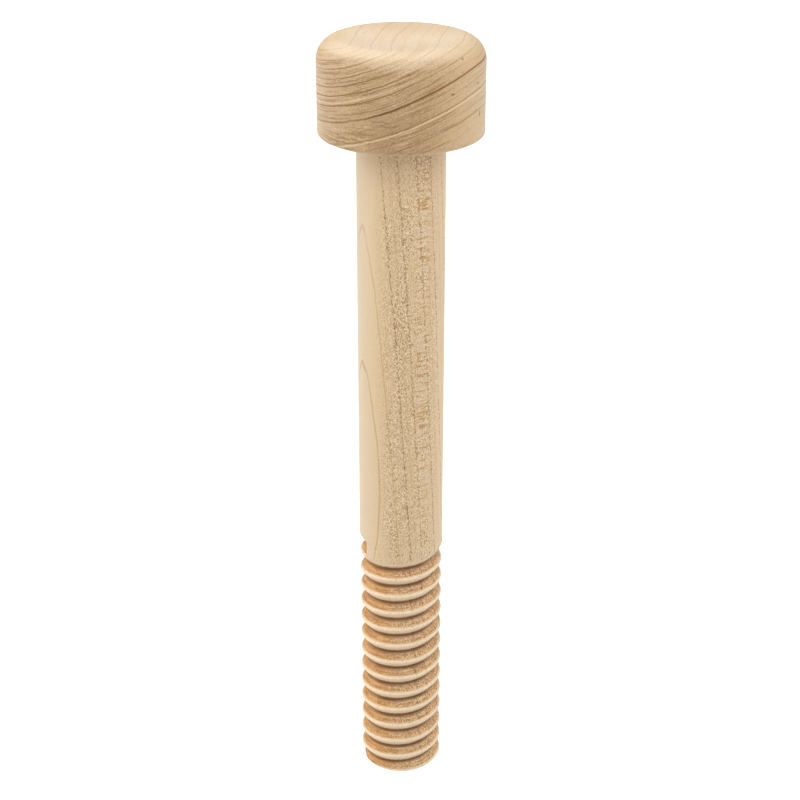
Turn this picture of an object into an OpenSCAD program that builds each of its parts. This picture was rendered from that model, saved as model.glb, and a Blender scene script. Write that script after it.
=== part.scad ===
// Clamping screw of a wooden screw nutcracker, standing on its tip.
// A round knob is glued on the tenon of a long turned spindle. The spindle's lower end carries one
// right-handed V-groove thread, and its flat tip presses on the nut.
// The origin is the middle of the tip's flat face, +Z runs up the spindle to the knob.
// Bearings around the axis are degrees from the front, -Y, towards +X.

/* [Spindle] */
// Diameter of the plain shank
shank_d = 20; // [20:0.5:26]
// Length from the tip to the underside of the knob
spindle_len = 162; // [120:1:220]
// Diameter of the flat face at the tip
tip_d = 17.7; // [12:0.1:18.5]
// Height of the chamfer above the tip's flat face
tip_chamfer = 1.6; // [0.5:0.1:4]

/* [Thread] */
// Diameter over the thread's crests, a little less than the shank
crest_d = 19.6; // [18.6:0.1:19.6]
// Height above the tip at which the shank's full diameter begins
thread_len = 64.2; // [64.1:0.1:100]
// Rise of the groove in one turn
pitch = 4.6; // [4.5:0.1:8]
// Depth of the groove below the crests
groove_depth = 1.7; // [1:0.01:1.8]
// Full angle between the groove's two flanks
groove_angle = 98; // [60:1:99]
// Width of the flat at the bottom of the groove
groove_floor = 0.16; // [0.1:0.01:0.4]
// Height above the tip where the groove stops, on its middle line
groove_top = 61.85; // [20:0.05:61.9]
// Bearing at which the groove stops
groove_end_bearing = 301; // [0:1:359]

/* [Knob] */
// Outside diameter of the knob
knob_d = 36.7; // [30:0.1:60]
// Height of the knob, from its underside to its crown
knob_h = 21.5; // [18:0.1:40]
// Radius of the round from the side up to the crown
knob_shoulder = 4.85; // [2:0.05:6]
// Radius of the round at the knob's lower edge
knob_foot = 1.3; // [0.5:0.1:3]
// Depth of the hollow in the knob's top
dish_depth = 1.25; // [0.5:0.05:3]
// Depth of the blind seat in the underside, which the spindle's tenon fills
seat_depth = 12; // [8:0.5:14]
// Diameter of the tenon, which leaves a shoulder for the knob to sit on
tenon_d = 14; // [8:0.5:18]
// Glue gap around the tenon in its seat
glue_gap = 0.05; // [0.02:0.01:0.1]

/* [Hidden] */
// Facets of the plain rounds, and of the threaded stretch, where the groove multiplies them
$fn = 96;
thread_fn = 60;
shank_r = shank_d / 2;
crest_r = crest_d / 2;
tenon_r = tenon_d / 2;
knob_r = knob_d / 2;
dish_r = knob_r - knob_shoulder;
// The seat's cutter starts this far under the knob, so that it opens the underside cleanly
seat_over = 1;

// Points of one quarter round or less about (cx, cz), from bearing a0 to a1 in n steps
arc_steps = 8;
function arc(cx, cz, r, a0, a1) =
    [for (i = [0:arc_steps]) let (a = a0 + (a1 - a0) * i / arc_steps) [cx + r * cos(a), cz + r * sin(a)]];

// The hollow is part of a sphere that meets the crown circle and is dish_depth deep
dish_sphere_r = (dish_r * dish_r + dish_depth * dish_depth) / (2 * dish_depth);
dish_half_angle = asin(dish_r / dish_sphere_r);

// Groove: its turns are counted down from the abrupt upper end until it has left the tip,
// and its cutter stands out past the crests by cutter_over
steps_per_turn = 30;
spare_steps = 1;
root_r = crest_r - groove_depth;
cutter_over = 0.08;
cutter_r = crest_r + cutter_over;
half_floor = groove_floor / 2;
half_mouth = half_floor + (cutter_r - root_r) * tan(groove_angle / 2);
groove_steps = ceil((groove_top + half_mouth) / pitch * steps_per_turn) + spare_steps;

// Section of the groove's cutter as [radius, height over the middle line]
cutter_section = [
    [root_r, -half_floor],
    [root_r, half_floor],
    [cutter_r, half_mouth],
    [cutter_r, -half_mouth]
];
section_n = len(cutter_section);

function cutter_point(step, corner) =
    let (turned = 360 * step / steps_per_turn, bearing = groove_end_bearing - turned)
    [
        cutter_section[corner][0] * sin(bearing),
        -cutter_section[corner][0] * cos(bearing),
        groove_top - pitch * turned / 360 + cutter_section[corner][1]
    ];

function side_faces(step, corner) =
    let (a = step * section_n + corner, b = step * section_n + (corner + 1) % section_n)
    [[a, b, a + section_n], [b, b + section_n, a + section_n]];

module groove_cutter() {
    points = [for (s = [0:groove_steps]) for (k = [0:section_n - 1]) cutter_point(s, k)];
    sides = [
        for (s = [0:groove_steps - 1]) for (k = [0:section_n - 1]) for (f = side_faces(s, k)) f
    ];
    first_end = [for (k = [section_n - 1:-1:0]) k];
    last_end = [for (k = [0:section_n - 1]) groove_steps * section_n + k];
    polyhedron(points = points, faces = concat(sides, [first_end, last_end]), convexity = 10);
}

module knob() {
    color("burlywood")
    translate([0, 0, spindle_len])
    difference() {
        rotate_extrude()
        polygon(concat(
            [[0, 0]],
            arc(knob_r - knob_foot, knob_foot, knob_foot, -90, 0),
            arc(knob_r - knob_shoulder, knob_h - knob_shoulder, knob_shoulder, 0, 90),
            arc(0, knob_h - dish_depth + dish_sphere_r, dish_sphere_r,
                -90 + dish_half_angle, -90)
        ));
        translate([0, 0, -seat_over])
        cylinder(r = tenon_r + glue_gap, h = seat_depth + seat_over);
    }
}

module spindle() {
    color("navajowhite")
    difference() {
        union() {
            cylinder(d1 = tip_d, d2 = crest_d, h = tip_chamfer, $fn = thread_fn);
            translate([0, 0, tip_chamfer])
            cylinder(r = crest_r, h = thread_len - tip_chamfer, $fn = thread_fn);
            translate([0, 0, thread_len])
            cylinder(r = shank_r, h = spindle_len - thread_len);
            translate([0, 0, spindle_len])
            cylinder(r = tenon_r, h = seat_depth);
        }
        groove_cutter();
    }
}

knob();
spindle();
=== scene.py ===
import math

import bmesh
import bpy
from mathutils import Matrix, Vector, noise


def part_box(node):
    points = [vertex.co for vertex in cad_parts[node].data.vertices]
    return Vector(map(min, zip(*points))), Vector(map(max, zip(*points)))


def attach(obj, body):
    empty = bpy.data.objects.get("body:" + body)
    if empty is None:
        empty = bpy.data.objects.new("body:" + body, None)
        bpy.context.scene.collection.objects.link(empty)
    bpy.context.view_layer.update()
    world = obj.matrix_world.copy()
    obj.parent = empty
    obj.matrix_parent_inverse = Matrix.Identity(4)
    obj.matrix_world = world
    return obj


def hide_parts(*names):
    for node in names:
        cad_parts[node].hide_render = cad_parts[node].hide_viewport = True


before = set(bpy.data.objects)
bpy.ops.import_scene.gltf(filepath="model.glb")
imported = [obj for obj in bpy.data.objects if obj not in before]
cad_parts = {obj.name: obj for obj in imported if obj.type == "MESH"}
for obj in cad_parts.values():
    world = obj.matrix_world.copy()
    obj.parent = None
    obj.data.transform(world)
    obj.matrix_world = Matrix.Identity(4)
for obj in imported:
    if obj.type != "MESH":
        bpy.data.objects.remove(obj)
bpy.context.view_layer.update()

# ---------------------------------------------------------------------------------------------
# Sizes in millimetres, in the frame's own axes: the tip stands on z = 0 and the front is -Y.
# Bearings are degrees from the front towards +X.
# ---------------------------------------------------------------------------------------------
MM = 0.001
KNOB_LO, KNOB_HI = (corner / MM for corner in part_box("knob"))
SPINDLE_LO, SPINDLE_HI = (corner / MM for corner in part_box("spindle"))

KNOB_R = (KNOB_HI.x - KNOB_LO.x) / 2
KNOB_BASE = KNOB_LO.z
KNOB_H = KNOB_HI.z - KNOB_LO.z
KNOB_SHOULDER = 4.85
KNOB_FOOT_WIDE = 2.0
KNOB_FOOT_HIGH = 1.1
DISH_DEPTH = 1.25
SEAT_R = 7.05
SEAT_DEPTH = 12.0

SHANK_R = (SPINDLE_HI.x - SPINDLE_LO.x) / 2
TENON_R = 7.0
TENON_TOP = SPINDLE_HI.z
TIP_R = 8.85
TIP_CHAMFER = 1.6
# The rounded crests stand a little higher than CAD's flat ones, but inside the shank's radius
CREST_R = 9.97
PITCH = 4.6
GROOVE_DEPTH = 1.87
GROOVE_HALF_ANGLE = math.radians(49)
GROOVE_TOP = 61.85
GROOVE_END_BEARING = 301.0
# From the groove's middle line up to where the plain shank starts
GROOVE_HALF_MOUTH = 2.25
# The torn, threaded wood reaches this far above the groove's end
TORN_ABOVE = 3.0
# Top of the mesh rows that follow the helix, clear of the groove
THREAD_ZONE = 66.0
# The turned spindle stays this far inside the CAD's surface, which leaves room for unevenness
INSIDE_CAD = 0.02

UP = (0.0, 0.0, 1.0)

# Growth rings of the spindle are nearly flat shells. ACROSS runs through them, BESIDE along them.
SPINDLE_ACROSS = (0.867, 0.498, 0.0578)
SPINDLE_BESIDE = (-0.498, 0.867, 0.0)
SPINDLE_RING_ZERO = 5.78
# Growth-ring lines as (place along the ring axis in mm, strength, width in mm)
SPINDLE_DOTTED = [
    (-5.0, 0.9, 0.16),
    (-2.2, 0.8, 0.16),
    (1.7, 0.9, 0.16),
    (5.1, 0.8, 0.16),
    (8.6, 0.7, 0.16),
]
SPINDLE_GOLDEN = [
    (-7.45, 0.65, 0.18),
    (-3.7, 0.25, 0.3),
    (3.4, 0.3, 0.2),
    (6.9, 0.3, 0.2),
]
# One more ring, which bends back towards the bark below a certain height
SPINDLE_BENT = [(-9.38, 0.9, 0.2)]
BEND_HEIGHT = 92.0
BEND_RATE = 0.0023

# The knob's fibres run from front to back, turned by KNOB_TWIST radians. Its rings are wide shells
# about a far pith, and in the knob they face nearly along KNOB_RING_DIR.
KNOB_TWIST = 0.26
PITH_BESIDE = -35.97
PITH_HEIGHT = 108.7
KNOB_RING_DIR = (0.32, -0.09, -0.943)
# Small dark marks in the knob as (middle, half size), each beside, along and above in mm
KNOB_MARKS = [
    ((18.1, -3.1, 6.7), (0.5, 0.25, 0.9)),
    ((17.9, -4.2, 13.5), (0.4, 0.25, 0.35)),
    ((14.2, -11.6, 12.6), (0.5, 0.5, 0.25)),
    ((15.4, -8.3, 19.4), (0.3, 0.3, 0.3)),
]
# Pale and dark ring lines as (distance from the pith in mm, strength, width in mm)
KNOB_PALE = [(101.9, 0.55, 0.2), (111.1, 0.9, 0.16)]
KNOB_STRONG = 106.0
KNOB_RINGS = [
    (89.6, 0.35, 0.14),
    (91.5, 0.5, 0.15),
    (93.3, 0.6, 0.15),
    (94.0, 0.35, 0.12),
    (95.0, 0.6, 0.15),
    (95.9, 0.35, 0.12),
    (97.0, 0.7, 0.12),
    (98.6, 0.95, 0.13),
    (100.5, 1.0, 0.13),
    (102.6, 0.9, 0.13),
    (104.3, 0.2, 0.16),
    (KNOB_STRONG, 1.0, 0.24),
    (108.4, 0.3, 0.14),
    (110.6, 0.6, 0.15),
    (112.8, 0.3, 0.14),
    (114.5, 0.45, 0.14),
]


# ---------------------------------------------------------------------------------------------
# Mesh helpers
# ---------------------------------------------------------------------------------------------
def smooth_min(a, b, k):
    """The lesser of a and b, with the corner between them rounded over about k."""
    h = max(k - abs(a - b), 0.0) / k
    return min(a, b) - h * h * k / 4


def smooth_max(a, b, k):
    return -smooth_min(-a, -b, k)


def smoothstep(x, low, high):
    t = min(max((x - low) / (high - low), 0.0), 1.0)
    return t * t * (3 - 2 * t)


def finish_mesh(bm, name, sharp_degrees):
    """Turns a bmesh in millimetres into a named object in metres, smooth except at sharp edges."""
    bmesh.ops.remove_doubles(bm, verts=bm.verts, dist=1e-5)
    bmesh.ops.scale(bm, vec=(MM, MM, MM), verts=bm.verts)
    bmesh.ops.recalc_face_normals(bm, faces=bm.faces)
    mesh = bpy.data.meshes.new(name)
    bm.to_mesh(mesh)
    bm.free()
    mesh.polygons.foreach_set("use_smooth", [True] * len(mesh.polygons))
    mesh.set_sharp_from_angle(angle=math.radians(sharp_degrees))
    piece = bpy.data.objects.new(name, mesh)
    bpy.context.scene.collection.objects.link(piece)
    return piece


def boundary_loop(bm, height):
    """Edges of the open rim at that height."""
    return [
        e
        for e in bm.edges
        if e.is_boundary and all(abs(v.co.z - height) < 1e-4 for v in e.verts)
    ]


def extrude_rim(bm, rim, move):
    """Adds one band of faces to an open rim, and gives the new rim.

    move maps a point of the rim to its new place.
    """
    made = bmesh.ops.extrude_edge_only(bm, edges=rim)["geom"]
    for v in made:
        if isinstance(v, bmesh.types.BMVert):
            v.co = move(v.co)
    return [e for e in made if isinstance(e, bmesh.types.BMEdge) and e.is_boundary]


# ---------------------------------------------------------------------------------------------
# Knob: turned on a lathe, with a rounded shoulder and a shallow dished crown
# ---------------------------------------------------------------------------------------------
def arc(cx, cz, rx, rz, start, end, steps):
    """Points of an elliptic arc, from start to end degrees."""
    points = []
    for i in range(steps + 1):
        a = math.radians(start + (end - start) * i / steps)
        points.append((cx + rx * math.cos(a), cz + rz * math.sin(a)))
    return points


def knob_profile():
    """(radius, height over the underside) from the seat round the outside to the crown's middle."""
    dish_r = KNOB_R - KNOB_SHOULDER
    points = [(0.0, SEAT_DEPTH), (SEAT_R, SEAT_DEPTH), (SEAT_R, 0.0)]
    points += [(SHANK_R + 1, 0.0), (KNOB_R - KNOB_FOOT_WIDE - 1.5, 0.0)]
    foot_r = KNOB_R - KNOB_FOOT_WIDE
    points += arc(foot_r, KNOB_FOOT_HIGH, KNOB_FOOT_WIDE, KNOB_FOOT_HIGH, -90, 0, 12)
    side_bottom, side_top = KNOB_FOOT_HIGH, KNOB_H - KNOB_SHOULDER
    side_steps = 16
    for i in range(1, side_steps):
        points.append((KNOB_R, side_bottom + (side_top - side_bottom) * i / side_steps))
    points += arc(dish_r, side_top, KNOB_SHOULDER, KNOB_SHOULDER, 0, 88, 22)
    rim_r, rim_h = points[-1]
    dish_steps = 24
    for i in range(1, dish_steps + 1):
        r = rim_r * (1 - i / dish_steps)
        fall = 0.5 + 0.5 * math.cos(math.pi * r / rim_r)
        points.append((r, rim_h - DISH_DEPTH * (1 - (r / rim_r) ** 2) * (0.75 + 0.25 * fall)))
    return points


def knob_mesh():
    bm = bmesh.new()
    columns = 288
    inside_cad = 0.03
    rings = []
    for r, h in knob_profile():
        ring = []
        for j in range(columns if r > 1e-6 else 1):
            a = 2 * math.pi * j / columns
            uneven = noise.noise(Vector((math.cos(a) * 1.3, math.sin(a) * 1.3, h * 0.12))) * 0.025
            turned = r - inside_cad + uneven if r > SEAT_R + 4 else r
            ring.append(bm.verts.new((turned * math.sin(a), -turned * math.cos(a), KNOB_BASE + h)))
        rings.append(ring)
    for low, high in zip(rings, rings[1:]):
        for j in range(columns):
            k = (j + 1) % columns
            corners = [low[j % len(low)], low[k % len(low)]]
            corners += [high[k % len(high)], high[j % len(high)]]
            distinct = list(dict.fromkeys(corners))
            if len(distinct) > 2:
                bm.faces.new(distinct)
    return finish_mesh(bm, "knob_turned", 40)


# ---------------------------------------------------------------------------------------------
# Spindle: rows of vertices follow the helix, so that every crest and root is a true line
# ---------------------------------------------------------------------------------------------
def groove_radius(off_middle):
    """Radius of the V groove at a height off its middle line, with a rounded crest and root."""
    root_r = CREST_R - GROOVE_DEPTH
    half_floor, root_round = 0.08, 0.25
    crest_rise, crest_round = 0.03, 0.5
    flank = root_r + (abs(off_middle) - half_floor) / math.tan(GROOVE_HALF_ANGLE)
    return smooth_min(smooth_max(flank, root_r, root_round), CREST_R + crest_rise, crest_round)


def tip_radius(z):
    """Radius that the rounded chamfer at the tip allows."""
    edge_high, edge_wide = 0.3, 0.22
    t = min(max(z / TIP_CHAMFER, 0.0), 1.0)
    below = max(1 - z / edge_high, 0.0)
    rounding = edge_wide * (1 - math.sqrt(max(1 - below * below, 0.0)))
    return TIP_R + (CREST_R - TIP_R) * t ** 0.8 - rounding


def spindle_radius(bearing, z):
    """Radius of the shank, the groove or the tip's chamfer, at a bearing in degrees and a height."""
    turns = (z - GROOVE_TOP) / PITCH - (bearing - GROOVE_END_BEARING) / 360
    nearest = round(turns)
    past_end = (bearing - GROOVE_END_BEARING) + 360 * nearest
    cut = 1 - smoothstep(past_end, -1.0, 4.0)
    plain = SHANK_R - INSIDE_CAD
    r = plain
    if cut > 0:
        r = plain - cut * max(plain - groove_radius((turns - nearest) * PITCH), 0.0)
    return min(r, tip_radius(z)) if z < TIP_CHAMFER else r


def helical_sleeve(bm, columns, rows_per_pitch):
    """A plain sleeve whose rows climb one pitch in a turn, from below the tip to over the thread."""
    margin = 1.0
    rows = int((THREAD_ZONE + 2 * PITCH + 2 * margin) / PITCH * rows_per_pitch)
    grid = []
    for i in range(rows + rows_per_pitch + 1):
        base = -PITCH - margin + i * PITCH / rows_per_pitch
        row = []
        for j in range(columns):
            b = 2 * math.pi * j / columns
            z = base + PITCH * j / columns
            row.append(bm.verts.new((SHANK_R * math.sin(b), -SHANK_R * math.cos(b), z)))
        grid.append(row)
    for i in range(rows):
        for j in range(columns):
            if j + 1 < columns:
                right_low, right_high = grid[i][j + 1], grid[i + 1][j + 1]
            else:
                right_low, right_high = grid[i + rows_per_pitch][0], grid[i + rows_per_pitch + 1][0]
            bm.faces.new((grid[i][j], right_low, right_high, grid[i + 1][j]))
    bmesh.ops.delete(bm, geom=[v for v in bm.verts if not v.link_faces], context="VERTS")


def level_cut(bm, height, clear_below=False, clear_above=False):
    """Cuts all faces along a level plane, and may clear one side of it."""
    bmesh.ops.bisect_plane(
        bm,
        geom=bm.verts[:] + bm.edges[:] + bm.faces[:],
        plane_co=(0, 0, height),
        plane_no=UP,
        clear_inner=clear_below,
        clear_outer=clear_above,
    )


def carve(v):
    """Moves a point of the plain sleeve in to the turned, threaded and slightly torn surface."""
    bearing = math.degrees(math.atan2(v.co.x, -v.co.y)) % 360
    r = spindle_radius(bearing, v.co.z)
    uneven = noise.noise(Vector((v.co.x * 0.25, v.co.y * 0.25, v.co.z * 0.06))) * 0.02
    torn = noise.noise(Vector((v.co.x * 2.2, v.co.y * 2.2, v.co.z * 1.2)))
    if v.co.z < GROOVE_TOP + TORN_ABOVE:
        torn *= 0.05 + 0.06 * smoothstep(r, 9.0, 9.7)
    else:
        torn *= 0.003
    r = min(r + uneven - INSIDE_CAD + torn, SHANK_R)
    v.co.x *= r / SHANK_R
    v.co.y *= r / SHANK_R


def spindle_mesh():
    bm = bmesh.new()
    helical_sleeve(bm, columns=240, rows_per_pitch=22)
    level_cut(bm, 0.0, clear_below=True)
    for height in (0.06, 0.15, 0.3, 0.7, 1.1, TIP_CHAMFER):
        level_cut(bm, height)
    level_cut(bm, THREAD_ZONE, clear_above=True)

    rim = boundary_loop(bm, THREAD_ZONE)
    shank_bands = 40
    rise = (KNOB_BASE - THREAD_ZONE) / shank_bands
    for _ in range(shank_bands):
        rim = extrude_rim(bm, rim, lambda p: Vector((p.x, p.y, p.z + rise)))

    for v in bm.verts:
        carve(v)

    shrink = TENON_R / SHANK_R
    rim = boundary_loop(bm, KNOB_BASE)
    rim = extrude_rim(bm, rim, lambda p: Vector((p.x * shrink, p.y * shrink, p.z)))
    rim = extrude_rim(bm, rim, lambda p: Vector((p.x, p.y, TENON_TOP)))
    bmesh.ops.edgeloop_fill(bm, edges=rim)

    rim = boundary_loop(bm, 0.0)
    tip_bands = 6
    for _ in range(tip_bands):
        rim = extrude_rim(bm, rim, lambda p: Vector((p.x * 0.8, p.y * 0.8, 0.0)))
    bmesh.ops.edgeloop_fill(bm, edges=rim)
    return finish_mesh(bm, "spindle_turned", 38)


# ---------------------------------------------------------------------------------------------
# Shader helpers: a small layer that builds node trees from plain calls
# ---------------------------------------------------------------------------------------------
class Tree:
    """Node tree of one material. Its methods take constants or other nodes' outputs alike."""

    def __init__(self, name):
        self.material = bpy.data.materials.new(name)
        self.material.use_nodes = True
        self.nodes = self.material.node_tree.nodes
        self.links = self.material.node_tree.links
        self.nodes.clear()
        self.output = self.nodes.new("ShaderNodeOutputMaterial")
        self.shader = self.nodes.new("ShaderNodeBsdfPrincipled")
        self.links.new(self.shader.outputs[0], self.output.inputs["Surface"])

    def put(self, value, socket):
        """Sets a socket to a constant, or links it to another node's output."""
        if isinstance(value, bpy.types.NodeSocket):
            self.links.new(value, socket)
        else:
            socket.default_value = value

    def math(self, operation, a, b=0.0, clamp=False):
        node = self.nodes.new("ShaderNodeMath")
        node.operation = operation
        node.use_clamp = clamp
        for value, socket in zip((a, b), node.inputs):
            self.put(value, socket)
        return node.outputs[0]

    def add(self, a, b):
        return self.math("ADD", a, b)

    def sub(self, a, b):
        return self.math("SUBTRACT", a, b)

    def mul(self, a, b):
        return self.math("MULTIPLY", a, b)

    def dot(self, vector, direction):
        node = self.nodes.new("ShaderNodeVectorMath")
        node.operation = "DOT_PRODUCT"
        self.put(vector, node.inputs[0])
        self.put(direction, node.inputs[1])
        return node.outputs["Value"]

    def stretch(self, vector, factors):
        node = self.nodes.new("ShaderNodeVectorMath")
        node.operation = "MULTIPLY"
        self.put(vector, node.inputs[0])
        self.put(factors, node.inputs[1])
        return node.outputs[0]

    def vector(self, x, y, z):
        node = self.nodes.new("ShaderNodeCombineXYZ")
        for value, socket in zip((x, y, z), node.inputs):
            self.put(value, socket)
        return node.outputs[0]

    def step(self, value, low, high, smooth=True):
        """0 at low, 1 at high and eased between. low may be the greater, for a falling step."""
        node = self.nodes.new("ShaderNodeMapRange")
        node.interpolation_type = "SMOOTHSTEP" if smooth else "LINEAR"
        flip = low > high
        self.put(value, node.inputs["Value"])
        self.put(min(low, high), node.inputs["From Min"])
        self.put(max(low, high), node.inputs["From Max"])
        self.put(1.0 if flip else 0.0, node.inputs["To Min"])
        self.put(0.0 if flip else 1.0, node.inputs["To Max"])
        return node.outputs["Result"]

    def noise(self, vector, detail=2.0, roughness=0.5):
        """Fractal noise about 0.5, with features about one unit of the vector across."""
        node = self.nodes.new("ShaderNodeTexNoise")
        self.put(vector, node.inputs["Vector"])
        self.put(1.0, node.inputs["Scale"])
        self.put(detail, node.inputs["Detail"])
        self.put(roughness, node.inputs["Roughness"])
        return node.outputs["Fac"]

    def ramp(self, value, stops, interpolation="LINEAR"):
        """Value from (position, level) stops."""
        node = self.nodes.new("ShaderNodeValToRGB")
        node.color_ramp.interpolation = interpolation
        elements = node.color_ramp.elements
        while len(elements) > 1:
            elements.remove(elements[-1])
        elements[0].position = stops[0][0]
        elements[0].color = (stops[0][1],) * 3 + (1,)
        for position, level in stops[1:]:
            elements.new(position).color = (level, level, level, 1)
        self.put(value, node.inputs["Fac"])
        return node.outputs["Color"]

    def mix(self, factor, a, b):
        """Colour a where factor is 0, and b where it is 1."""
        node = self.nodes.new("ShaderNodeMix")
        node.data_type = "RGBA"
        colours = [s for s in node.inputs if s.type == "RGBA"]
        self.put(factor, node.inputs[0])
        self.put(a, colours[0])
        self.put(b, colours[1])
        return next(s for s in node.outputs if s.type == "RGBA")


def srgb(r, g, b):
    """Linear colour, with alpha, of an sRGB colour given from 0 to 255."""
    def linear(v):
        v = v / 255
        return v / 12.92 if v <= 0.04045 else ((v + 0.055) / 1.055) ** 2.4

    return (linear(r), linear(g), linear(b), 1.0)


# ---------------------------------------------------------------------------------------------
# Camera: at the photograph's viewing angle, looking down on the front
# ---------------------------------------------------------------------------------------------
CAMERA_LENS = 78.99
CAMERA_PLACE = Vector((-0.23, -372.1, KNOB_BASE + 105.0))
CAMERA_LOOKS_DOWN = 24.37


def make_camera():
    data = bpy.data.cameras.new("camera")
    data.sensor_width = 36.0
    data.lens = CAMERA_LENS
    data.clip_start = 0.01
    data.clip_end = 20.0
    camera = bpy.data.objects.new("camera", data)
    camera.location = CAMERA_PLACE * MM
    camera.rotation_euler = (math.radians(90 - CAMERA_LOOKS_DOWN), 0, 0)
    bpy.context.scene.collection.objects.link(camera)
    bpy.context.scene.camera = camera


def area_light(name, place, aim, size, power):
    """A white soft box. place, aim and size are in metres, and power is in watts."""
    data = bpy.data.lights.new(name, "AREA")
    data.shape = "RECTANGLE"
    data.size, data.size_y = size
    data.energy = power
    light = bpy.data.objects.new(name, data)
    light.location = place
    light.rotation_mode = "QUATERNION"
    light.rotation_quaternion = (Vector(aim) - Vector(place)).to_track_quat("-Z", "Y")
    bpy.context.scene.collection.objects.link(light)


def make_light():
    world = bpy.data.worlds.new("studio")
    bpy.context.scene.world = world
    world.use_nodes = True
    nodes, links = world.node_tree.nodes, world.node_tree.links
    nodes["Background"].inputs["Color"].default_value = (1, 1, 1, 1)
    # A little brighter from below, as off white paper
    upward = nodes.new("ShaderNodeSeparateXYZ")
    brightness = nodes.new("ShaderNodeMapRange")
    links.new(nodes.new("ShaderNodeTexCoord").outputs["Generated"], upward.inputs[0])
    links.new(upward.outputs["Z"], brightness.inputs["Value"])
    for name, value in (("From Min", -0.4), ("From Max", 0.4), ("To Min", 0.75), ("To Max", 0.40)):
        brightness.inputs[name].default_value = value
    links.new(brightness.outputs[0], nodes["Background"].inputs["Strength"])
    aim = (0, 0, 0.1)
    area_light("left", (-0.85, 0.15, 0.50), aim, (0.7, 0.9), 4.0)
    area_light("right", (0.85, 0.05, 0.50), aim, (0.6, 0.9), 2.4)
    area_light("top", (-0.1, 0.15, 0.94), aim, (0.8, 0.8), 3.2)
    area_light("front", (0.03, -0.76, 0.80), aim, (0.6, 0.6), 4.2)
    bpy.context.scene.view_settings.view_transform = "Standard"


def make_floor():
    bm = bmesh.new()
    bmesh.ops.create_grid(bm, x_segments=2, y_segments=2, size=4.0)
    mesh = bpy.data.meshes.new("floor")
    bm.to_mesh(mesh)
    bm.free()
    floor = bpy.data.objects.new("floor", mesh)
    bpy.context.scene.collection.objects.link(floor)
    paint = Tree("floor_white")
    paint.put((0.9, 0.9, 0.9, 1), paint.shader.inputs["Base Color"])
    paint.put(0.8, paint.shader.inputs["Roughness"])
    paint.put((1, 1, 1, 1), paint.shader.inputs["Emission Color"])
    paint.put(0.7, paint.shader.inputs["Emission Strength"])
    mesh.materials.append(paint.material)
    # White paper that doesn't throw its own light back up at the object
    floor.visible_diffuse = False


# ---------------------------------------------------------------------------------------------
# Wood: solid 3-D grain, so that every turned face shows the cut through one block of wood
# ---------------------------------------------------------------------------------------------
def ring_lines(tree, ring, slant, low, high, lines):
    """Level of thin growth-ring lines. lines holds (place in mm, strength, width in mm).

    slant is how much of the ring direction lies in the surface, so that a line keeps its width
    where a face cuts the rings at a shallow angle. A ramp over the places from low to high holds
    the distance to the nearest line, so low is less than reach below the first line, and a ramp's
    32 stops are enough for 16 lines.
    """
    lines = sorted(lines)
    reach = 8.0
    span = high - low

    def stop(place_mm, offset):
        return ((place_mm - low) / span, 0.5 + offset / (2 * reach))

    signed, strength, width = [], [], []
    for i, (place_mm, level, breadth) in enumerate(lines):
        start = low if i == 0 else (lines[i - 1][0] + place_mm) / 2
        end = high if i == len(lines) - 1 else (lines[i + 1][0] + place_mm) / 2
        signed += [stop(start + 1e-4, start - place_mm), stop(end - 1e-4, end - place_mm)]
        strength.append(((start - low) / span, level))
        width.append(((start - low) / span, breadth))
    along = tree.step(ring, low, high, smooth=False)
    offset = tree.mul(tree.sub(tree.ramp(along, signed), 0.5), 2 * reach)
    offset = tree.math("DIVIDE", offset, tree.mul(slant, tree.ramp(along, width, "CONSTANT")))
    shape = tree.mul(tree.step(offset, -1.8, -0.2), tree.step(offset, 1.0, 0.3))
    return tree.mul(shape, tree.ramp(along, strength, "CONSTANT"))


def surface_slant(tree, normal, direction):
    """Length of the part of direction that lies in the surface, kept above a fifth."""
    facing = tree.dot(normal, direction)
    inside = tree.math("SQRT", tree.sub(1.001, tree.mul(facing, facing)))
    return tree.math("MAXIMUM", inside, 0.2)


def wood_tree(name):
    """A wood's node tree, with the point in millimetres and the normal, both in the frame's axes."""
    tree = Tree(name)
    coords = tree.nodes.new("ShaderNodeTexCoord")
    point = tree.stretch(coords.outputs["Object"], (1 / MM, 1 / MM, 1 / MM))
    return tree, point, coords.outputs["Normal"]


def height_bump(tree, height, distance_mm, strength):
    bump = tree.nodes.new("ShaderNodeBump")
    tree.put(height, bump.inputs["Height"])
    bump.inputs["Distance"].default_value = distance_mm * MM
    bump.inputs["Strength"].default_value = strength
    tree.links.new(bump.outputs[0], tree.shader.inputs["Normal"])


def spindle_ring_lines(tree, point, normal, height):
    """Levels of the dotted late-wood lines and of the smooth golden ones near the bark side."""
    slow = tree.noise(tree.stretch(point, (0.11, 0.11, 0.022)), detail=1.0)
    wander = tree.noise(tree.stretch(point, (0.5, 0.5, 0.12)), detail=2.0)
    jitter = tree.noise(tree.stretch(point, (1.6, 1.6, 1.1)), detail=2.0, roughness=0.6)
    across = tree.sub(tree.dot(point, SPINDLE_ACROSS), SPINDLE_RING_ZERO)
    smooth_ring = tree.add(across, tree.mul(tree.sub(slow, 0.5), 0.25))
    smooth_ring = tree.add(smooth_ring, tree.mul(tree.sub(wander, 0.5), 0.25))
    ring = tree.add(smooth_ring, tree.sub(jitter, 0.5))
    below = tree.math("MAXIMUM", tree.sub(BEND_HEIGHT, height), 0.0)
    bent_ring = tree.add(smooth_ring, tree.mul(tree.mul(below, below), BEND_RATE))

    slant = surface_slant(tree, normal, SPINDLE_ACROSS)
    dotted, golden, bent = (
        ring_lines(tree, place, slant, -12.0, 12.0, lines)
        for place, lines in (
            (ring, SPINDLE_DOTTED),
            (smooth_ring, SPINDLE_GOLDEN),
            (bent_ring, SPINDLE_BENT),
        )
    )
    return dotted, tree.math("MAXIMUM", golden, bent)


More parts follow.
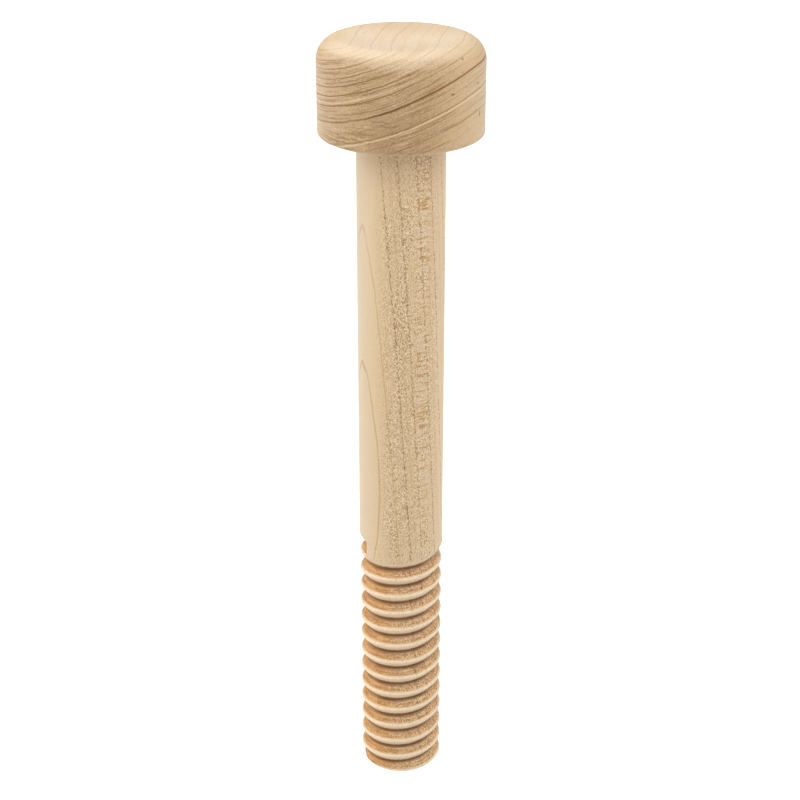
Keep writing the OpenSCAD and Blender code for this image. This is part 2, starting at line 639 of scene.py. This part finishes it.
def thread_colours(tree, point, normal, height, colour, pore, ring_line):
    """Colours the thread's cut wood. Gives the new colour, the cut ends' level and their noise.

    The cut fibre ends are browner than the shank, the roots are darkened with painted shade, the
    crests are pale, and the front of the tip's lower edge has a painted highlight.
    """
    level = tree.nodes.new("ShaderNodeVectorMath")
    level.operation = "LENGTH"
    tree.put(tree.stretch(point, (1.0, 1.0, 0.0)), level.inputs[0])
    ends = tree.noise(tree.stretch(point, (3.2, 3.2, 2.6)), detail=2.0, roughness=0.65)
    radius = tree.add(level.outputs["Value"], tree.mul(tree.sub(ends, 0.5), 0.5))

    # The thread starts at the upper edge of the groove's last turn
    turned = tree.math("ARCTAN2", tree.dot(point, (1.0, 0.0, 0.0)), tree.dot(point, (0.0, -1.0, 0.0)))
    helix = tree.sub(height, tree.mul(turned, PITCH / (2 * math.pi)))
    end_turned = math.radians(GROOVE_END_BEARING - 360)
    last_turn = tree.mul(tree.math("GREATER_THAN", turned, end_turned), -PITCH)
    groove_end = GROOVE_TOP - PITCH * end_turned / (2 * math.pi)
    upper_edge = tree.add(last_turn, groove_end + GROOVE_HALF_MOUTH)
    in_thread = tree.step(tree.sub(helix, upper_edge), 0.1, -0.1)

    # The flanks that face the tip are pale further in towards the root
    down_flank_shift = tree.mul(tree.step(tree.dot(normal, UP), 0.1, -0.2), 0.75)
    shifted_radius = tree.add(radius, down_flank_shift)
    cut_ends = tree.mul(tree.step(shifted_radius, 9.66, 9.30), in_thread)
    crest = tree.mul(tree.step(shifted_radius, 9.3, 9.7), in_thread)
    # Painted shade in the roots, strongest on the front and the back
    facing = tree.step(tree.math("ABSOLUTE", tree.dot(point, (0.0, 1.0, 0.0))), 4.0, 7.5)
    root = tree.mul(tree.step(radius, 8.65, 8.05), in_thread)
    root = tree.mul(root, tree.add(0.45, tree.mul(facing, 0.45)))

    colour = tree.mix(tree.mul(crest, 0.75), colour, srgb(249, 227, 195))
    crest_specks = tree.mul(tree.step(pore, 0.60, 0.72), crest)
    colour = tree.mix(tree.mul(crest_specks, 0.6), colour, srgb(170, 128, 84))

    # Streaks run round the flanks. The wood is golden on the left, and greyer on the right.
    streak_point = tree.vector(
        tree.dot(point, (0.22, 0.0, 0.0)), tree.dot(point, (0.0, 0.22, 0.0)), tree.mul(helix, 3.2)
    )
    streaks = tree.step(tree.noise(streak_point, detail=2.0, roughness=0.6), 0.35, 0.65)
    right = tree.step(tree.dot(normal, (0.8, -0.6, 0.0)), 0.0, 0.5)
    end_colour = tree.mix(streaks, srgb(180, 119, 56), srgb(226, 169, 98))
    grey_brown = tree.mix(streaks, srgb(192, 148, 104), srgb(234, 196, 152))
    end_colour = tree.mix(tree.mul(right, 0.75), end_colour, grey_brown)
    torn = tree.add(0.45, tree.mul(right, 0.4))
    dark_torn = tree.mul(tree.step(ends, 0.5, 0.62), torn)
    end_colour = tree.mix(dark_torn, end_colour, srgb(124, 80, 38))
    pale_torn = tree.mul(tree.step(ends, 0.47, 0.36), torn)
    end_colour = tree.mix(pale_torn, end_colour, srgb(244, 204, 146))
    end_colour = tree.mix(tree.mul(ring_line, 0.6), end_colour, srgb(128, 88, 48))

    colour = tree.mix(tree.mul(cut_ends, 0.9), colour, end_colour)
    # Painted shade: the roots are darkened to a deep brown
    colour = tree.mix(root, colour, srgb(86, 51, 17))
    facing_down = tree.step(tree.dot(normal, (0.0, 0.0, -1.0)), 0.8, 0.95)
    tip_face = tree.mul(facing_down, tree.step(height, 0.5, 0.2))
    colour = tree.mix(tree.mul(tip_face, 0.7), colour, end_colour)
    # Painted highlight along the front of the tip's lower edge
    highlight_side = tree.step(tree.dot(point, (0.5, -0.86, 0.0)), 2.0, 5.0)
    painted_tip_highlight = tree.mul(tree.step(height, 1.2, 0.6), highlight_side)
    painted_tip_highlight = tree.mul(painted_tip_highlight, tree.sub(1.0, tip_face))
    colour = tree.mix(tree.mul(painted_tip_highlight, 0.8), colour, srgb(254, 238, 212))
    return colour, cut_ends, ends


def spindle_wood():
    tree, point, normal = wood_tree("spindle_wood")
    height = tree.dot(point, UP)
    ring_line, golden = spindle_ring_lines(tree, point, normal, height)
    dashes = tree.noise(tree.stretch(point, (2.0, 2.0, 2.3)), detail=2.0, roughness=0.6)
    dotted = tree.mul(ring_line, tree.step(dashes, 0.42, 0.54))

    # Fibres and pores. The face towards the front and the back is rougher than the sides.
    rough_side = tree.step(tree.math("ABSOLUTE", tree.dot(normal, (-0.24, 0.97, 0.0))), 0.60, 0.93)
    fibre = tree.noise(tree.stretch(point, (3.2, 3.2, 0.11)), detail=3.0, roughness=0.6)
    broad = tree.noise(tree.stretch(point, (0.35, 0.35, 0.03)), detail=2.0)
    slow_patches = tree.noise(tree.stretch(point, (0.35, 0.35, 0.07)), detail=2.0)
    pore = tree.noise(tree.stretch(point, (4.2, 4.2, 2.6)), detail=1.0, roughness=0.6)
    patchy = tree.add(0.45, tree.mul(tree.step(slow_patches, 0.35, 0.65), 0.55))
    roughness_here = tree.mul(tree.add(0.10, tree.mul(rough_side, 0.90)), patchy)
    pores = tree.mul(tree.step(pore, 0.52, 0.66), roughness_here)
    shine = tree.mul(tree.step(pore, 0.47, 0.34), roughness_here)

    # Ray flecks, where the surface lies along the rays. They are weaker low down.
    across, beside = tree.dot(point, SPINDLE_ACROSS), tree.dot(point, SPINDLE_BESIDE)
    ray_point = tree.vector(tree.mul(across, 0.30), tree.mul(beside, 3.0), tree.mul(height, 2.5))
    ray = tree.noise(ray_point, detail=1.0)
    quarter = tree.step(tree.math("ABSOLUTE", tree.dot(normal, SPINDLE_BESIDE)), 0.975, 0.998)
    flecks = tree.mul(tree.step(ray, 0.57, 0.65), quarter)
    flecks = tree.mul(flecks, tree.add(0.4, tree.mul(tree.step(height, 72.0, 96.0), 0.6)))
    pale_flecks = tree.mul(tree.step(ray, 0.44, 0.36), quarter)

    colour = tree.mix(fibre, srgb(222, 194, 154), srgb(233, 208, 169))
    colour = tree.mix(tree.mul(broad, 0.5), colour, srgb(210, 177, 133))
    colour = tree.mix(tree.mul(rough_side, 0.20), colour, srgb(192, 161, 116))
    # Painted highlight: the side facing left and a little forward is tinted pale
    left_painted_highlight = tree.step(tree.dot(normal, (-0.94, -0.34, 0.0)), 0.80, 1.0)
    colour = tree.mix(tree.mul(left_painted_highlight, 0.4), colour, srgb(220, 202, 178))
    colour = tree.mix(tree.mul(pores, 0.90), colour, srgb(152, 112, 62))
    colour = tree.mix(tree.mul(shine, 0.80), colour, srgb(250, 230, 192))
    colour = tree.mix(tree.mul(dotted, 0.90), colour, srgb(138, 94, 42))
    colour = tree.mix(tree.mul(golden, 0.7), colour, srgb(188, 146, 88))
    colour = tree.mix(tree.mul(flecks, 0.75), colour, srgb(178, 126, 52))
    colour = tree.mix(tree.mul(pale_flecks, 0.5), colour, srgb(226, 204, 182))
    colour, cut_ends, ends = thread_colours(tree, point, normal, height, colour, pore, ring_line)
    tree.put(colour, tree.shader.inputs["Base Color"])

    rough = tree.add(0.46, tree.mul(fibre, 0.10))
    rough = tree.add(rough, tree.mul(cut_ends, 0.15))
    tree.put(rough, tree.shader.inputs["Roughness"])
    tree.put(0.5, tree.shader.inputs["Specular IOR Level"])
    relief = tree.sub(tree.mul(fibre, 0.6), tree.mul(pores, 0.45))
    relief = tree.sub(relief, tree.mul(dotted, 0.3))
    relief = tree.add(relief, tree.mul(tree.mul(ends, cut_ends), 1.5))
    height_bump(tree, relief, 0.05, 0.7)
    return tree.material


def knob_ring(tree, grain, beside, height, along, wander):
    """Distance from the far pith, a little uneven. The fibres dip slightly towards the back."""
    slow = tree.noise(tree.stretch(grain, (0.10, 0.10, 0.03)), detail=1.0)
    from_pith_x = tree.sub(beside, PITH_BESIDE)
    from_pith_z = tree.sub(height, PITH_HEIGHT)
    squares = tree.add(tree.mul(from_pith_x, from_pith_x), tree.mul(from_pith_z, from_pith_z))
    ring = tree.math("SQRT", squares)
    ring = tree.add(ring, tree.mul(tree.sub(slow, 0.5), 0.5))
    ring = tree.add(ring, tree.mul(tree.sub(wander, 0.5), 0.3))
    return tree.add(ring, tree.mul(tree.math("MAXIMUM", tree.add(along, 2.0), 0.0), 0.07))


def knob_hair(tree, ring, beside, height, along, wander):
    """Noise drawn out into fine lines along the rings.

    Under the strongest line, on the left, they lie level instead.
    """
    level_side = tree.step(beside, 7.0, -1.0)
    level_part = tree.mul(tree.step(ring, KNOB_STRONG, KNOB_STRONG + 0.5), level_side)
    level_ring = tree.add(height, tree.mul(tree.sub(wander, 0.5), 1.5))
    ring_hair, level_hair = (
        tree.noise(
            tree.vector(tree.mul(through, 2.2), tree.mul(beside, 0.12), tree.mul(along, 0.05)),
            detail=2.0,
            roughness=0.7,
        )
        for through in (ring, level_ring)
    )
    return tree.mix(level_part, ring_hair, level_hair)


def knob_lines(tree, colour, ring, normal, beside, height, side):
    """Draws the knob's growth-ring lines. Gives the new colour and the dark lines' level.

    The strongest line is darker and reddish, and thins out on the left. The others fade on the
    right, where they climb over the shoulder.
    """
    slant = surface_slant(tree, normal, KNOB_RING_DIR)
    pale_line = ring_lines(tree, ring, slant, 95.0, 122.0, KNOB_PALE)
    late = ring_lines(tree, ring, slant, 88.0, 122.0, KNOB_RINGS)

    above_strong = tree.step(ring, KNOB_STRONG - 0.8, KNOB_STRONG - 0.6)
    strong = tree.mul(above_strong, tree.step(ring, KNOB_STRONG + 0.8, KNOB_STRONG + 0.6))
    reddish = tree.mix(tree.step(beside, 4.0, 16.0), srgb(112, 74, 32), srgb(146, 92, 38))
    line_colour = tree.mix(strong, srgb(132, 94, 48), reddish)
    line_colour = tree.mix(side, srgb(196, 152, 92), line_colour)

    shoulder = tree.mul(tree.step(height, 14.5, 17.5), tree.step(height, 21.2, 20.6))
    faded = tree.mul(tree.mul(shoulder, tree.step(beside, -2.0, 6.0)), tree.sub(1.0, strong))
    late = tree.mul(late, tree.sub(1.0, tree.mul(faded, 0.6)))
    pale_line = tree.mul(pale_line, tree.sub(1.0, tree.mul(faded, 0.8)))
    thinned = tree.mul(tree.mul(strong, tree.step(beside, 2.0, -8.0)), 0.4)
    late = tree.mul(late, tree.sub(1.0, thinned))
    late = tree.math("MULTIPLY", late, tree.add(0.85, tree.mul(side, 0.15)), clamp=True)
    colour = tree.mix(late, colour, line_colour)
    colour = tree.mix(tree.mul(tree.mul(pale_line, side), 0.7), colour, srgb(242, 215, 174))
    return colour, late


def knob_marks(tree, colour, grain_place, pore):
    """Draws the small dark marks, whose edges are broken up by the pores."""
    for middle, half_size in KNOB_MARKS:
        away = tree.nodes.new("ShaderNodeVectorMath")
        away.operation = "SUBTRACT"
        tree.put(grain_place, away.inputs[0])
        tree.put(middle, away.inputs[1])
        scaled = tree.stretch(away.outputs[0], tuple(1 / v for v in half_size))
        distance = tree.math("SQRT", tree.dot(scaled, scaled))
        mark = tree.step(tree.add(distance, tree.mul(tree.sub(pore, 0.5), 2.0)), 1.1, 0.6)
        colour = tree.mix(tree.mul(mark, 0.8), colour, srgb(110, 70, 30))
    return colour


def knob_wood():
    tree, point, normal = wood_tree("knob_wood")

    # Fibres lie level, nearly front to back
    along_dir = (math.sin(KNOB_TWIST), math.cos(KNOB_TWIST), 0.0)
    beside_dir = (math.cos(KNOB_TWIST), -math.sin(KNOB_TWIST), 0.0)
    along = tree.dot(point, along_dir)
    beside = tree.dot(point, beside_dir)
    height = tree.sub(tree.dot(point, UP), KNOB_BASE)
    grain = tree.vector(beside, height, along)
    wander = tree.noise(tree.stretch(grain, (0.45, 0.6, 0.12)), detail=2.0)
    ring = knob_ring(tree, grain, beside, height, along, wander)
    hair = knob_hair(tree, ring, beside, height, along, wander)

    facing_ends = tree.math("ABSOLUTE", tree.dot(normal, along_dir))
    end_grain = tree.step(facing_ends, 0.30, 1.0)
    fibre = tree.noise(tree.stretch(grain, (2.6, 2.6, 0.10)), detail=3.0, roughness=0.6)
    pore = tree.noise(tree.stretch(grain, (4.4, 4.4, 1.2)), detail=2.0, roughness=0.6)
    pores = tree.step(pore, 0.52, 0.68)
    shine = tree.step(pore, 0.47, 0.32)
    speck = tree.step(tree.noise(tree.stretch(grain, (1.5, 1.5, 0.3)), detail=2.0), 0.66, 0.74)

    # The crown is pale. The side is golden, and browner and speckled where it shows end grain, with
    # painted shade low on the front and a painted highlight on the front shoulder.
    front = tree.dot(normal, (0.05, -1.0, 0.0))
    upward = tree.dot(normal, (-0.07, -0.18, 1.0))
    # Painted highlight: on the front the pale crown colour reaches further down the shoulder
    upward = tree.add(upward, tree.mul(tree.step(front, 0.72, 0.98), 0.2))
    side = tree.step(upward, 0.95, 0.52)
    painted_low_shade = tree.mul(tree.step(height, 16.0, 2.0), tree.step(front, 0.84, 1.0))
    crown_colour = tree.mix(fibre, srgb(218, 194, 161), srgb(231, 211, 184))
    band_point = tree.vector(tree.mul(ring, 0.9), tree.mul(beside, 0.05), tree.mul(along, 0.03))
    band = tree.mul(tree.step(tree.noise(band_point), 0.50, 0.66), 0.45)
    crown_colour = tree.mix(band, crown_colour, srgb(212, 181, 136))
    at_back = tree.mul(tree.step(along, 2.0, 12.0), 0.6)
    crown_colour = tree.mix(at_back, crown_colour, srgb(204, 178, 144))
    at_rim = tree.mul(tree.step(tree.math("ABSOLUTE", beside), 9.0, 17.5), 0.4)
    crown_colour = tree.mix(at_rim, crown_colour, srgb(208, 176, 128))
    side_colour = tree.mix(fibre, srgb(204, 172, 130), srgb(220, 191, 150))
    end_colour = tree.mix(fibre, srgb(184, 150, 109), srgb(203, 172, 132))
    # Painted shade: darker towards the bottom of the knob's front
    end_colour = tree.mix(tree.mul(painted_low_shade, 0.45), end_colour, srgb(152, 114, 74))
    side_colour = tree.mix(end_grain, side_colour, end_colour)
    colour = tree.mix(side, crown_colour, side_colour)

    hairs = tree.mul(tree.step(hair, 0.52, 0.62), tree.add(0.35, tree.mul(end_grain, 0.65)))
    hairs = tree.mul(hairs, tree.add(0.12, tree.mul(side, 0.88)))
    colour = tree.mix(tree.mul(hairs, 0.65), colour, srgb(140, 100, 56))
    pale_hairs = tree.mul(tree.mul(tree.step(hair, 0.44, 0.32), end_grain), side)
    pale_hairs = tree.mul(pale_hairs, tree.sub(1.0, tree.mul(tree.step(beside, 4.0, 12.0), 0.5)))
    colour = tree.mix(tree.mul(pale_hairs, 0.5), colour, srgb(238, 208, 162))
    dark_pores = tree.mul(pores, tree.add(0.10, tree.mul(end_grain, 0.40)))
    colour = tree.mix(dark_pores, colour, srgb(140, 102, 60))
    shining = tree.mul(shine, tree.add(0.08, tree.mul(end_grain, 0.38)))
    colour = tree.mix(shining, colour, srgb(242, 212, 166))
    specks = tree.mul(speck, tree.add(0.12, tree.mul(side, 0.23)))
    colour = tree.mix(specks, colour, srgb(132, 92, 54))
    colour, late = knob_lines(tree, colour, ring, normal, beside, height, side)
    colour = knob_marks(tree, colour, tree.vector(beside, along, height), pore)
    tree.put(colour, tree.shader.inputs["Base Color"])

    tree.put(tree.add(0.44, tree.mul(pores, 0.15)), tree.shader.inputs["Roughness"])
    tree.put(0.35, tree.shader.inputs["Specular IOR Level"])
    relief = tree.sub(tree.mul(fibre, 0.6), tree.mul(pores, 0.6))
    relief = tree.sub(relief, tree.mul(late, 0.5))
    height_bump(tree, relief, 0.05, 0.6)
    return tree.material


def place(piece, node, slot, material):
    """Gives a piece its material, and puts it on the body in place of its CAD node."""
    piece.data.materials.append(material)
    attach(piece, "root")
    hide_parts(node)


make_camera()
place(knob_mesh(), "knob", "knob_wood", knob_wood())
place(spindle_mesh(), "spindle", "spindle_wood", spindle_wood())
make_floor()
make_light()
